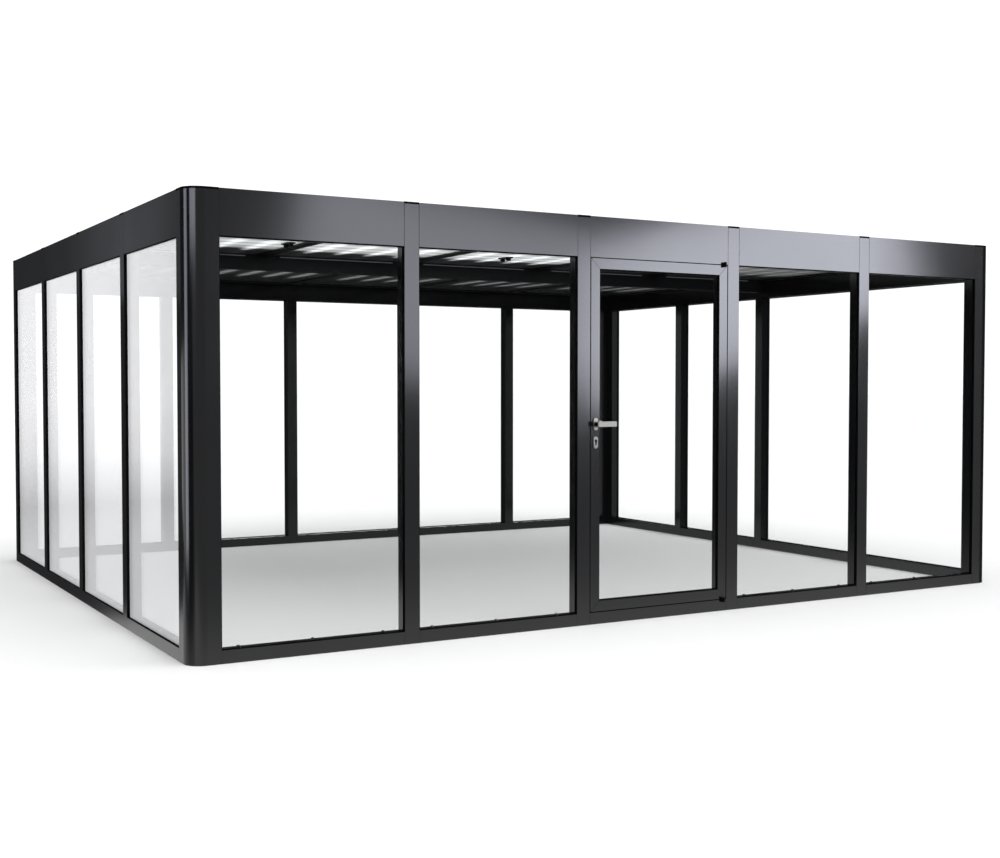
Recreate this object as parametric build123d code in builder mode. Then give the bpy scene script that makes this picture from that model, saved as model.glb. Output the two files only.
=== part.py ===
from build123d import *
import os

# A free-standing glass greenhouse: an aluminium post-and-rail frame with glazed walls on all sides,
# a hinged glass door in the middle front bay and a flat translucent roof behind a deep fascia.
# Millimetres. The origin is on the ground at the centre of the footprint.
# +X runs along the front to the right, +Y runs from the front to the rear and +Z is up.

# Driving sizes of the frame
front_bays = 5
side_bays = 4
front_opening = 1070.0
side_opening = 1085.0
mullion_width = 92.0
corner_face = 176.0
corner_radius = 100.0
wall_depth = 90.0
frame_height = 2500.0
cap_thickness = 12.0
fascia_height = 248.0
fascia_drop = 2.0
base_height = 72.0
edge_radius = 1.5
seam = 0.3

# Wall glazing
glass_thickness = 8.0
glass_setback = 10.0
glass_bite = 10.0
groove_depth = 12.0
groove_gap = 0.3

# Roof, from the beam in the middle up to the strips that hold the sheets
beam_rise = 50.0
beam_width = 92.0
beam_depth = 100.0
beam_web_width = 60.0
beam_lip = 4.0
beam_lip_height = 8.0
rafter_width = 92.0
rafter_flange = 10.0
rafter_web_width = 8.0
bearer_width = 40.0
sheet_thickness = 16.0
sheet_gap = 12.0
sheet_edge_gap = 2.0
strip_width = 60.0
strip_thickness = 6.0
edge_trim_width = 50.0

# Door leaf
door_gap = 5.0
leaf_depth = 64.0
leaf_frame_width = 65.0
leaf_edge = 1.0
stop_gap = 9.0
stop_overlap = 12.0

# Door hinges: a knuckle on the frame and one on the leaf, on one upright pin
hinge_inset = 30.0
knuckle_radius = 11.0
knuckle_standoff = 13.0
frame_knuckle_height = 14.0
leaf_knuckle_height = 15.0
knuckle_gap = 1.0
knuckle_overhang = 2.0
pin_radius = 4.0
pin_length = 12.0
pin_clearance = 0.05
pin_end_gap = 1.0

# Door lever, its plates and the lock
lever_height = 1232.0
lever_standoff = 50.0
grip_length = 136.0
grip_height = 32.0
grip_thickness = 12.0
grip_radius = 5.0
neck_radius = 9.0
neck_clearance = 0.08
neck_gap = 0.5
spindle_radius = 4.0
spindle_clearance = 1.0
plate_width = 32.0
rosette_height = 78.0
escutcheon_height = 74.0
plate_thickness = 8.0
plate_edge = 1.5
escutcheon_drop = 113.0
keyhole_rise = 10.0
keyhole_radius = 8.5
keyhole_slot_width = 10.0
keyhole_slot_length = 24.5
keyhole_depth = 20.0

# Sizes that follow
front_pitch = front_opening + mullion_width
side_pitch = side_opening + mullion_width
front_length = 2 * corner_face + front_bays * front_opening + (front_bays - 1) * mullion_width
side_length = 2 * corner_face + side_bays * side_opening + (side_bays - 1) * mullion_width
post_height = frame_height - cap_thickness
fascia_top = frame_height - fascia_drop
fascia_bottom = fascia_top - fascia_height
groove_width = glass_thickness + 2 * groove_gap
glass_line = glass_setback + glass_thickness / 2
pane_foot = base_height - groove_depth
pane_height = fascia_bottom + glass_bite - pane_foot
inner_x = front_length / 2 - wall_depth
inner_y = side_length / 2 - wall_depth
beam_bottom = fascia_bottom + beam_rise
ledge_level = beam_bottom + beam_depth
roof_level = ledge_level + rafter_flange
sheet_top = roof_level + sheet_thickness
leaf_left = door_gap - front_opening / 2
leaf_right = front_opening / 2 - door_gap
leaf_foot = base_height + door_gap
leaf_top = fascia_bottom - door_gap
leaf_width = leaf_right - leaf_left
leaf_height = leaf_top - leaf_foot
leaf_centre = ((leaf_left + leaf_right) / 2, (leaf_foot + leaf_top) / 2)
lever_x = leaf_left + leaf_frame_width / 2
escutcheon_centre = lever_height - escutcheon_drop
key_height = escutcheon_centre + keyhole_rise
hinge_x = leaf_right - hinge_inset

# Each wall has its own plane: x runs along the wall, y runs inwards from its outer face, z is up
front_wall = Plane(origin=(0, -side_length / 2, 0), x_dir=(1, 0, 0), z_dir=(0, 0, 1))
right_wall = Plane(origin=(front_length / 2, 0, 0), x_dir=(0, 1, 0), z_dir=(0, 0, 1))
rear_wall = Plane(origin=(0, side_length / 2, 0), x_dir=(-1, 0, 0), z_dir=(0, 0, 1))
left_wall = Plane(origin=(-front_length / 2, 0, 0), x_dir=(0, -1, 0), z_dir=(0, 0, 1))

# The door is drawn on the outer face of the front wall with x to the right, y up and z outwards.
# On the leaf's inner face x is still to the right, y points down and z points indoors
door_face = Plane(origin=(0, -side_length / 2, 0), x_dir=(1, 0, 0), z_dir=(0, -1, 0))
inside_face = Plane(origin=(0, leaf_depth - side_length / 2, 0), x_dir=(1, 0, 0), z_dir=(0, 1, 0))


def bay_centres(bays, pitch):
    return [(i - (bays - 1) / 2) * pitch for i in range(bays)]


def mullion_centres(bays, pitch):
    return [(i - bays / 2) * pitch for i in range(1, bays)]


front_centres = bay_centres(front_bays, front_pitch)
side_centres = bay_centres(side_bays, side_pitch)
glazed_front_centres = [x for x in front_centres if abs(x) > front_pitch / 2]
front_mullion_lines = mullion_centres(front_bays, front_pitch)
side_mullion_lines = mullion_centres(side_bays, side_pitch)

os.makedirs("parts", exist_ok=True)

# Corner posts, L-shaped in plan with legs as deep as the walls and a round outer corner. Each is
# drawn at the left end of its wall as seen from outside
inner_corner = (corner_face + wall_depth) / 2
inner_corner_size = corner_face - wall_depth
post_places = {
    "front_left": (front_wall, front_length),
    "front_right": (right_wall, side_length),
    "rear_right": (rear_wall, front_length),
    "rear_left": (left_wall, side_length),
}
for place, (wall, length) in post_places.items():
    with BuildPart() as corner_post:
        with BuildSketch(wall) as post_outline:
            with Locations(((corner_face - length) / 2, corner_face / 2)):
                Rectangle(corner_face, corner_face)
            left_vertices = post_outline.vertices().sort_by(Axis.X)[:2]
            fillet(left_vertices.sort_by(Axis.Y)[0], corner_radius)
            with Locations((inner_corner - length / 2, inner_corner)):
                Rectangle(inner_corner_size, inner_corner_size, mode=Mode.SUBTRACT)
            with Locations((corner_face - length / 2 - groove_depth / 2, glass_line)):
                Rectangle(groove_depth, groove_width, mode=Mode.SUBTRACT)
            with Locations((glass_line - length / 2, corner_face - groove_depth / 2)):
                Rectangle(groove_width, groove_depth, mode=Mode.SUBTRACT)
        extrude(amount=post_height)
    corner_post.part.label = "corner_post_" + place
    export_step(corner_post.part, "parts/corner_post_" + place + ".step")

# Front mullions, one node each. The two beside the door have no glass groove on the door's side
for number, centre in enumerate(front_mullion_lines, start=1):
    outward = 1 if centre > 0 else -1
    grooved_sides = [outward] if abs(centre) < front_pitch else [-1, 1]
    with BuildPart() as front_mullion:
        with BuildSketch(front_wall):
            with Locations((centre, wall_depth / 2)):
                RectangleRounded(mullion_width, wall_depth, edge_radius)
            for side in grooved_sides:
                groove_x = centre + side * (mullion_width - groove_depth) / 2
                with Locations((groove_x, glass_line)):
                    Rectangle(groove_depth, groove_width, mode=Mode.SUBTRACT)
        extrude(amount=post_height)
    front_mullion.part.label = f"front_mullion_{number}"
    export_step(front_mullion.part, f"parts/front_mullion_{number}.step")

# The mullions of the other walls have a groove on both sides
mullion_rows = {
    "rear": (rear_wall, front_mullion_lines),
    "left": (left_wall, side_mullion_lines),
    "right": (right_wall, side_mullion_lines),
}
for side_name, (wall, lines) in mullion_rows.items():
    with BuildPart() as mullions:
        with BuildSketch(wall):
            with Locations(*[(x, wall_depth / 2) for x in lines]):
                RectangleRounded(mullion_width, wall_depth, edge_radius)
            with Locations(*[(x, glass_line) for x in lines]):
                with GridLocations(mullion_width - groove_depth, 0, 2, 1):
                    Rectangle(groove_depth, groove_width, mode=Mode.SUBTRACT)
        extrude(amount=post_height)
    mullions.part.label = side_name + "_mullions"
    export_step(mullions.part, "parts/" + side_name + "_mullions.step")

# Between the posts of each wall: base rails grooved in the top, fascias grooved underneath, and
# panes that stand in the base rail's groove and reach into the other three
wall_bays = {
    "front": (front_wall, front_opening, front_centres, glazed_front_centres),
    "rear": (rear_wall, front_opening, front_centres, front_centres),
    "left": (left_wall, side_opening, side_centres, side_centres),
    "right": (right_wall, side_opening, side_centres, side_centres),
}
for side_name, (wall, opening, all_centres, glazed_centres) in wall_bays.items():
    with BuildPart() as base_rail:
        with BuildSketch(wall):
            with Locations(*[(x, wall_depth / 2) for x in glazed_centres]):
                RectangleRounded(opening - 2 * seam, wall_depth, edge_radius)
        extrude(amount=base_height)
        with BuildSketch(wall.offset(pane_foot)):
            with Locations(*[(x, glass_line) for x in glazed_centres]):
                Rectangle(opening, groove_width)
        extrude(amount=groove_depth, mode=Mode.SUBTRACT)
    base_rail.part.label = "base_rail_" + side_name
    export_step(base_rail.part, "parts/base_rail_" + side_name + ".step")

    with BuildPart() as fascia:
        with BuildSketch(wall.offset(fascia_bottom)):
            with Locations(*[(x, wall_depth / 2) for x in all_centres]):
                RectangleRounded(opening - 2 * seam, wall_depth, edge_radius)
        extrude(amount=fascia_top - fascia_bottom)
        with BuildSketch(wall.offset(fascia_bottom)):
            with Locations(*[(x, glass_line) for x in glazed_centres]):
                Rectangle(opening, groove_width)
        extrude(amount=groove_depth, mode=Mode.SUBTRACT)
    fascia.part.label = "fascia_" + side_name
    export_step(fascia.part, "parts/fascia_" + side_name + ".step")

    with BuildPart() as panes:
        with BuildSketch(wall.offset(pane_foot)):
            with Locations(*[(x, glass_line) for x in glazed_centres]):
                Rectangle(opening + 2 * glass_bite, glass_thickness)
        extrude(amount=pane_height)
    panes.part.label = "glass_" + side_name
    export_step(panes.part, "parts/glass_" + side_name + ".step")

# The door's threshold is a base rail without a groove
with BuildPart() as door_threshold:
    with BuildSketch(front_wall):
        with Locations((0, wall_depth / 2)):
            RectangleRounded(front_opening - 2 * seam, wall_depth, edge_radius)
    extrude(amount=base_height)
door_threshold.part.label = "door_threshold"
export_step(door_threshold.part, "parts/door_threshold.step")

# Caps that close the tops of the corner posts and the mullions
with BuildPart() as corner_caps:
    for wall, length in post_places.values():
        with BuildSketch(wall.offset(post_height)) as cap_outline:
            with Locations(((corner_face - length) / 2, corner_face / 2)):
                Rectangle(corner_face, corner_face)
            left_vertices = cap_outline.vertices().sort_by(Axis.X)[:2]
            fillet(left_vertices.sort_by(Axis.Y)[0], corner_radius)
            with Locations((inner_corner - length / 2, inner_corner)):
                Rectangle(inner_corner_size, inner_corner_size, mode=Mode.SUBTRACT)
        extrude(amount=cap_thickness)
corner_caps.part.label = "corner_caps"
export_step(corner_caps.part, "parts/corner_caps.step")

with BuildPart() as mullion_caps:
    for wall, lines in [(front_wall, front_mullion_lines), *mullion_rows.values()]:
        with BuildSketch(wall.offset(post_height)):
            with Locations(*[(x, wall_depth / 2) for x in lines]):
                RectangleRounded(mullion_width, wall_depth, edge_radius)
        extrude(amount=cap_thickness)
mullion_caps.part.label = "mullion_caps"
export_step(mullion_caps.part, "parts/mullion_caps.step")

# The beam along the middle: a box with a lip near its top, and a narrower web above it that
# leaves a ledge on each side for the rafters
beam_length = 2 * (inner_x - seam)
with BuildPart() as centre_beam:
    with BuildSketch(Plane.YZ.offset(-beam_length / 2)):
        with Locations((0, beam_bottom + beam_depth / 2)):
            Rectangle(beam_width, beam_depth)
        with Locations((0, ledge_level - beam_lip_height / 2)):
            Rectangle(beam_width + 2 * beam_lip, beam_lip_height)
        with Locations((0, ledge_level + rafter_flange / 2)):
            Rectangle(beam_web_width, rafter_flange)
    extrude(amount=beam_length)
centre_beam.part.label = "centre_beam"
export_step(centre_beam.part, "parts/centre_beam.step")

# Flat bearers against the walls carry the outer edge of the roof
rafter_start = beam_web_width / 2 + seam
rafter_end = inner_y - bearer_width - seam
with BuildPart() as roof_bearers:
    with BuildSketch(Plane.XY.offset(ledge_level)):
        with GridLocations(0, 2 * inner_y - bearer_width, 1, 2):
            Rectangle(2 * (inner_x - seam), bearer_width)
        with GridLocations(2 * inner_x - bearer_width, rafter_start + rafter_end, 2, 2):
            Rectangle(bearer_width, rafter_end - rafter_start)
    extrude(amount=rafter_flange)
roof_bearers.part.label = "roof_bearers"
export_step(roof_bearers.part, "parts/roof_bearers.step")

# Rafters in line with the mullions, from the bearer to the beam's ledge: a wide flange under the
# edges of two sheets and a web that stands in the joint between them
with BuildPart() as rafters:
    with BuildSketch(Plane.XY.offset(ledge_level)):
        with GridLocations(front_pitch, rafter_start + rafter_end, front_bays - 1, 2):
            Rectangle(rafter_width, rafter_end - rafter_start)
    extrude(amount=rafter_flange)
    with BuildSketch(Plane.XY.offset(roof_level)):
        with GridLocations(front_pitch, rafter_start + rafter_end, front_bays - 1, 2):
            Rectangle(rafter_web_width, rafter_end - rafter_start)
    extrude(amount=sheet_thickness)
rafters.part.label = "rafters"
export_step(rafters.part, "parts/rafters.step")

# Translucent roof sheets, one to a bay on each side of the ridge, meeting over the rafters. The
# end sheets are wider and reach the side walls
sheet_depth = inner_y - sheet_edge_gap - sheet_gap / 2
sheet_centre_y = (inner_y - sheet_edge_gap + sheet_gap / 2) / 2
end_sheet_start = front_mullion_lines[-1] + sheet_gap / 2
end_sheet_end = inner_x - sheet_edge_gap
for side_name, side in (("front", -1), ("rear", 1)):
    with BuildPart() as roof_sheets:
        with BuildSketch(Plane.XY.offset(roof_level)):
            with Locations(*[(x, side * sheet_centre_y) for x in front_centres[1:-1]]):
                Rectangle(front_pitch - sheet_gap, sheet_depth)
            with Locations((0, side * sheet_centre_y)):
                with GridLocations(end_sheet_start + end_sheet_end, 0, 2, 1):
                    Rectangle(end_sheet_end - end_sheet_start, sheet_depth)
        extrude(amount=sheet_thickness)
    roof_sheets.part.label = "roof_sheets_" + side_name
    export_step(roof_sheets.part, "parts/roof_sheets_" + side_name + ".step")

# Strips over the joints between the sheets
strip_start = strip_width / 2 + seam
strip_end = inner_y - edge_trim_width - seam
with BuildPart() as roof_strips:
    with BuildSketch(Plane.XY.offset(sheet_top)):
        Rectangle(2 * (inner_x - edge_trim_width - seam), strip_width)
        with GridLocations(front_pitch, strip_start + strip_end, front_bays - 1, 2):
            Rectangle(strip_width, strip_end - strip_start)
    extrude(amount=strip_thickness)
roof_strips.part.label = "roof_strips"
export_step(roof_strips.part, "parts/roof_strips.step")

# Trims along the outer edges of the sheets
with BuildPart() as roof_edge_trims:
    with BuildSketch(Plane.XY.offset(sheet_top)):
        with GridLocations(0, 2 * inner_y - edge_trim_width, 1, 2):
            Rectangle(2 * (inner_x - seam), edge_trim_width)
        with GridLocations(2 * inner_x - edge_trim_width, 0, 2, 1):
            Rectangle(edge_trim_width, 2 * strip_end)
    extrude(amount=strip_thickness)
roof_edge_trims.part.label = "roof_edge_trims"
export_step(roof_edge_trims.part, "parts/roof_edge_trims.step")

# Stops behind the door leaf, two upright and two level, standing clear of its back
stop_start = leaf_depth + stop_gap
stop_width = door_gap + stop_overlap
doorway_height = fascia_bottom - base_height
with BuildPart() as door_stops:
    with BuildSketch(door_face.offset(-stop_start)):
        with Locations((0, base_height + doorway_height / 2)):
            with GridLocations(front_opening - stop_width, 0, 2, 1):
                Rectangle(stop_width, doorway_height)
            with GridLocations(0, doorway_height - stop_width, 1, 2):
                Rectangle(front_opening - 2 * (stop_width + seam), stop_width)
    extrude(amount=stop_start - wall_depth)
door_stops.part.label = "door_stops"
export_step(door_stops.part, "parts/door_stops.step")

# Door leaf: four members mitred at the corners, with eased edges and a glass groove all round
outer_corners = [
    (leaf_left, leaf_foot),
    (leaf_right, leaf_foot),
    (leaf_right, leaf_top),
    (leaf_left, leaf_top),
]
inner_corners = [
    (leaf_left + leaf_frame_width, leaf_foot + leaf_frame_width),
    (leaf_right - leaf_frame_width, leaf_foot + leaf_frame_width),
    (leaf_right - leaf_frame_width, leaf_top - leaf_frame_width),
    (leaf_left + leaf_frame_width, leaf_top - leaf_frame_width),
]
member_names = ["door_bottom_rail", "door_hinge_stile", "door_top_rail", "door_lock_stile"]
groove_span_x = leaf_width - 2 * (leaf_frame_width - groove_depth)
groove_span_z = leaf_height - 2 * (leaf_frame_width - groove_depth)
for start, name in enumerate(member_names):
    end = (start + 1) % len(member_names)
    with BuildPart() as leaf_member:
        with BuildSketch(door_face):
            with BuildLine():
                Polyline(
                    outer_corners[start],
                    outer_corners[end],
                    inner_corners[end],
                    inner_corners[start],
                    close=True,
                )
            make_face()
        extrude(amount=-leaf_depth)
        flat_faces = leaf_member.faces().sort_by(Axis.Y)
        chamfer(flat_faces[0].edges() + flat_faces[-1].edges(), leaf_edge)
        with BuildSketch(door_face.offset(groove_gap - glass_setback)):
            with Locations(leaf_centre):
                Rectangle(groove_span_x, groove_span_z)
        extrude(amount=-groove_width, mode=Mode.SUBTRACT)
        if name == "door_lock_stile":
            # The lock stile is bored for the lever's spindle and has a keyhole in each face
            with BuildSketch(door_face):
                with Locations((lever_x, lever_height)):
                    Circle(spindle_radius + spindle_clearance)
            extrude(amount=-leaf_depth, mode=Mode.SUBTRACT)
            with BuildSketch(door_face, door_face.offset(keyhole_depth - leaf_depth)):
                with Locations((lever_x, key_height)):
                    Circle(keyhole_radius)
                with Locations((lever_x, key_height - keyhole_slot_length / 2)):
                    Rectangle(keyhole_slot_width, keyhole_slot_length)
            extrude(amount=-keyhole_depth, mode=Mode.SUBTRACT)
    leaf_member.part.label = name
    export_step(leaf_member.part, "parts/" + name + ".step")

door_pane_foot = leaf_foot + leaf_frame_width - groove_depth
door_pane_top = leaf_top - leaf_frame_width + glass_bite
with BuildPart() as door_glass:
    with BuildSketch(door_face.offset(-glass_setback)):
        with Locations((leaf_centre[0], (door_pane_foot + door_pane_top) / 2)):
            Rectangle(
                leaf_width - 2 * (leaf_frame_width - glass_bite),
                door_pane_top - door_pane_foot,
            )
    extrude(amount=-glass_thickness)
door_glass.part.label = "door_glass"
export_step(door_glass.part, "parts/door_glass.step")

# Hinges. Each knuckle is a round barrel on a short arm that ends on the face behind it. The
# frame's knuckles carry the pins, which point at the leaf from above and from below
top_frame_foot = fascia_bottom - knuckle_overhang
top_leaf_foot = top_frame_foot - knuckle_gap - leaf_knuckle_height
low_frame_foot = base_height + knuckle_overhang - frame_knuckle_height
low_leaf_foot = low_frame_foot + frame_knuckle_height + knuckle_gap
with BuildPart() as hinge_brackets:
    with BuildSketch(front_wall.offset(top_frame_foot), front_wall.offset(low_frame_foot)):
        with Locations((hinge_x, -knuckle_standoff)):
            Circle(knuckle_radius)
        with Locations((hinge_x, -knuckle_standoff / 2)):
            Rectangle(2 * knuckle_radius, knuckle_standoff)
    extrude(amount=frame_knuckle_height)
    for level in (top_frame_foot - pin_length, low_frame_foot + frame_knuckle_height):
        with BuildSketch(front_wall.offset(level)):
            with Locations((hinge_x, -knuckle_standoff)):
                Circle(pin_radius)
        extrude(amount=pin_length)
hinge_brackets.part.label = "hinge_brackets"
export_step(hinge_brackets.part, "parts/hinge_brackets.step")

bore_depth = pin_length - knuckle_gap + pin_end_gap
with BuildPart() as hinge_knuckles:
    with BuildSketch(front_wall.offset(top_leaf_foot), front_wall.offset(low_leaf_foot)):
        with Locations((hinge_x, -knuckle_standoff)):
            Circle(knuckle_radius)
        with Locations((hinge_x, -knuckle_standoff / 2)):
            Rectangle(2 * knuckle_radius, knuckle_standoff)
    extrude(amount=leaf_knuckle_height)
    for level in (top_leaf_foot + leaf_knuckle_height - bore_depth, low_leaf_foot):
        with BuildSketch(front_wall.offset(level)):
            with Locations((hinge_x, -knuckle_standoff)):
                Circle(pin_radius + pin_clearance)
        extrude(amount=bore_depth, mode=Mode.SUBTRACT)
hinge_knuckles.part.label = "hinge_knuckles"
export_step(hinge_knuckles.part, "parts/hinge_knuckles.step")

# Oval plates on both faces of the lock stile: a rosette around the lever's neck and an
# escutcheon with the keyhole below it
with BuildPart() as handle_rosettes:
    for face, up in ((door_face, 1), (inside_face, -1)):
        with BuildSketch(face):
            with Locations((lever_x, up * lever_height)):
                SlotOverall(rosette_height, plate_width, rotation=90)
                Circle(neck_radius + neck_clearance, mode=Mode.SUBTRACT)
        extrude(amount=plate_thickness)
        rim = handle_rosettes.faces().sort_by(Axis.Y)[-1 if up < 0 else 0]
        fillet(rim.outer_wire().edges(), plate_edge)
handle_rosettes.part.label = "handle_rosettes"
export_step(handle_rosettes.part, "parts/handle_rosettes.step")

with BuildPart() as key_escutcheons:
    for face, up in ((door_face, 1), (inside_face, -1)):
        with BuildSketch(face):
            with Locations((lever_x, up * escutcheon_centre)):
                SlotOverall(escutcheon_height, plate_width, rotation=90)
            with Locations((lever_x, up * key_height)):
                Circle(keyhole_radius, mode=Mode.SUBTRACT)
            with Locations((lever_x, up * (key_height - keyhole_slot_length / 2))):
                Rectangle(keyhole_slot_width, keyhole_slot_length, mode=Mode.SUBTRACT)
        extrude(amount=plate_thickness)
        rim = key_escutcheons.faces().sort_by(Axis.Y)[-1 if up < 0 else 0]
        fillet(rim.outer_wire().edges(), plate_edge)
key_escutcheons.part.label = "key_escutcheons"
export_step(key_escutcheons.part, "parts/key_escutcheons.step")

# The lever: a flat grip on a round neck at each face, joined by a spindle through the stile
with BuildPart() as door_lever:
    with BuildSketch(door_face.offset(lever_standoff)):
        with Locations((lever_x, lever_height)):
            Circle(spindle_radius)
    extrude(amount=-(leaf_depth + 2 * lever_standoff))
    for face, up in ((door_face, 1), (inside_face, -1)):
        with BuildSketch(face.offset(neck_gap)):
            with Locations((lever_x, up * lever_height)):
                Circle(neck_radius)
        extrude(amount=lever_standoff - neck_gap)
        grip_x = lever_x + grip_length / 2 - neck_radius - grip_radius
        with BuildSketch(face.offset(lever_standoff - grip_thickness / 2)):
            with Locations((grip_x, up * lever_height)):
                RectangleRounded(grip_length, grip_height, grip_radius)
        extrude(amount=grip_thickness)
door_lever.part.label = "door_lever"
export_step(door_lever.part, "parts/door_lever.step")
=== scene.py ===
import math

import bmesh
import bpy
from bpy.props import FloatProperty, FloatVectorProperty, PointerProperty
from mathutils import Matrix, Vector


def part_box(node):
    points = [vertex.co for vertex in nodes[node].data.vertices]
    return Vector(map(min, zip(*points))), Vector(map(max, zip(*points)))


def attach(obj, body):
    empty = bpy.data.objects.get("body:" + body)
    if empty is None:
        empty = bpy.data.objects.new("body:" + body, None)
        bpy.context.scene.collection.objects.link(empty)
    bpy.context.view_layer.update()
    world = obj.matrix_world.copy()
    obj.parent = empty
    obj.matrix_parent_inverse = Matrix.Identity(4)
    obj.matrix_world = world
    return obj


bl_info = {
    "name": "Glass greenhouse",
    "version": (1, 0, 0),
    "blender": (4, 5, 0),
    "location": "3D View > Sidebar > Greenhouse",
    "description": "Finishes, fittings and studio for a glass greenhouse with a hinged door",
    "category": "Object",
}

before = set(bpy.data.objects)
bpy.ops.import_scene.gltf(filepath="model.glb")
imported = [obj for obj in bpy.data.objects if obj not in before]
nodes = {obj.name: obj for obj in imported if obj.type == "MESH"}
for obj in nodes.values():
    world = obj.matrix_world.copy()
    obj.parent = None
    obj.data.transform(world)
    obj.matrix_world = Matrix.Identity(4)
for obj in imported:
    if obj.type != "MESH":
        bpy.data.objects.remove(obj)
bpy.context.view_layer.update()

MM = 0.001
LOW, HIGH = 0, 1
X, Y, Z = 0, 1, 2

ROOF_FRAME = ["centre_beam", "rafters", "roof_bearers"]
LEAF = ["door_lock_stile", "door_hinge_stile", "door_top_rail", "door_bottom_rail"]
FRONT = [name for name in nodes if name.startswith(("corner_post_front", "front_mullion"))]
FRONT += ["base_rail_front", "fascia_front", "door_threshold", "left_mullions", *LEAF]
LEFT = ["corner_post_front_left", "fascia_left"]
REAR = ["corner_post_rear_left", "corner_post_rear_right", "fascia_rear", "rear_mullions"]
REAR += ["base_rail_rear"]
RIGHT = ["corner_post_rear_right", "fascia_right", "right_mullions", "base_rail_right"]
PAINTED = list(dict.fromkeys([*FRONT, *LEFT, *REAR, *RIGHT, "base_rail_left"]))
STRIPS = ["roof_strips", "roof_edge_trims"]
PANES = ["glass_front", "glass_rear", "glass_left", "glass_right", "door_glass"]
ROOF_SHEETS = ["roof_sheets_front", "roof_sheets_rear"]
HANDLE_PARTS = ["door_lever", "handle_rosettes", "key_escutcheons"]
CAPS_AND_HINGES = ["corner_caps", "mullion_caps", "hinge_brackets", "hinge_knuckles"]


# Places, read from the frame


def middle(name, axis):
    low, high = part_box(name)
    return (low[axis] + high[axis]) / 2


mullion_low, mullion_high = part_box("front_mullion_1")
mullion_width = mullion_high[X] - mullion_low[X]
front_pitch = middle("front_mullion_2", X) - middle("front_mullion_1", X)
front_opening = front_pitch - mullion_width
side_row_low, side_row_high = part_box("left_mullions")
side_pitch = (side_row_high[Y] - side_row_low[Y] - mullion_width) / 2
side_opening = side_pitch - mullion_width
front_face, rear_face = mullion_low[Y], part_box("rear_mullions")[HIGH][Y]
left_face, right_face = side_row_low[X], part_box("right_mullions")[HIGH][X]
wall_depth = mullion_high[Y] - mullion_low[Y]
base_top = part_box("base_rail_front")[HIGH][Z]
fascia_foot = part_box("fascia_front")[LOW][Z]
pane_front, pane_back = (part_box("glass_front")[side][Y] - front_face for side in (LOW, HIGH))
leaf_low, leaf_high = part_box("door_hinge_stile")
lock_low, lock_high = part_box("door_lock_stile")
stile_width = leaf_high[X] - leaf_low[X]
lever_x, lever_z = middle("handle_rosettes", X), middle("handle_rosettes", Z)
plate_front, plate_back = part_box("handle_rosettes")[LOW][Y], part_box("handle_rosettes")[HIGH][Y]
hinge_x = middle("hinge_brackets", X)
beam_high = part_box("centre_beam")[HIGH]
ceiling_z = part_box("roof_sheets_front")[LOW][Z]
rafter_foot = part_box("rafters")[LOW][Z]
strip_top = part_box("roof_strips")[HIGH][Z]

# A wall is drawn along its outer face as seen from outside, then inwards, then up
WALLS = {
    "front": (Vector((0, front_face, 0)), Vector((1, 0, 0)), Vector((0, 1, 0))),
    "right": (Vector((right_face, 0, 0)), Vector((0, 1, 0)), Vector((-1, 0, 0))),
    "rear": (Vector((0, rear_face, 0)), Vector((-1, 0, 0)), Vector((0, -1, 0))),
    "left": (Vector((left_face, 0, 0)), Vector((0, -1, 0)), Vector((1, 0, 0))),
}
UP = Vector((0, 0, 1))
FRONT_BAYS = [front_pitch * n for n in (-2, -1, 0, 1, 2)]
SIDE_BAYS = [side_pitch * n for n in (-1.5, -0.5, 0.5, 1.5)]
RAFTER_LINES = [front_pitch * n for n in (-1.5, -0.5, 0.5, 1.5)]


def on_wall(wall, along, inwards, height):
    origin, run, inward = WALLS[wall]
    return origin + along * run + inwards * inward + height * UP


# Colour, material and mesh helpers


def linear(code):
    """A linear colour from an sRGB hex code such as "#1a2b3c"."""
    parts = [int(code[i : i + 2], 16) / 255 for i in (1, 3, 5)]
    return tuple(c / 12.92 if c <= 0.04045 else ((c + 0.055) / 1.055) ** 2.4 for c in parts)


def add(tree, kind, *values, inputs=None, **settings):
    """Adds a node with its settings, and fills its inputs in their order or by name.

    A socket given as a value is linked, and a node links its first output in use.
    """
    node = tree.nodes.new(kind)
    for name, setting in settings.items():
        setattr(node, name, setting)
    for key, value in (*enumerate(values), *(inputs or {}).items()):
        socket = node.inputs[key]
        if isinstance(value, bpy.types.Node):
            value = next(output for output in value.outputs if output.enabled)
        if isinstance(value, bpy.types.NodeSocket):
            tree.links.new(value, socket)
        elif socket.type == "RGBA" and len(value) == 3:
            socket.default_value = (*value, 1.0)
        else:
            socket.default_value = value
    return node


def new_material(name):
    """An empty material. Returns it and its tree."""
    material = bpy.data.materials.new(name)
    material.use_nodes = True
    material.node_tree.nodes.clear()
    return material, material.node_tree


def set_stops(colour_ramp, stops):
    """Gives a colour ramp its (position, grey) stops."""
    while len(colour_ramp.elements) < len(stops):
        colour_ramp.elements.new(1.0)
    for element, (position, grey) in zip(colour_ramp.elements, stops):
        element.position = position
        element.color = (grey, grey, grey, 1.0)


def wear(material, *names):
    """Gives CAD nodes one material all over."""
    for name in names:
        data = nodes[name].data
        data.materials.clear()
        data.materials.append(material)


def new_piece(name, mesh, material, body):
    """Puts a finished mesh into the scene as a piece that rides on a body."""
    piece = bpy.data.objects.new(name, mesh)
    bpy.context.scene.collection.objects.link(piece)
    mesh.materials.clear()
    mesh.materials.append(material)
    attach(piece, body)


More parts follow.
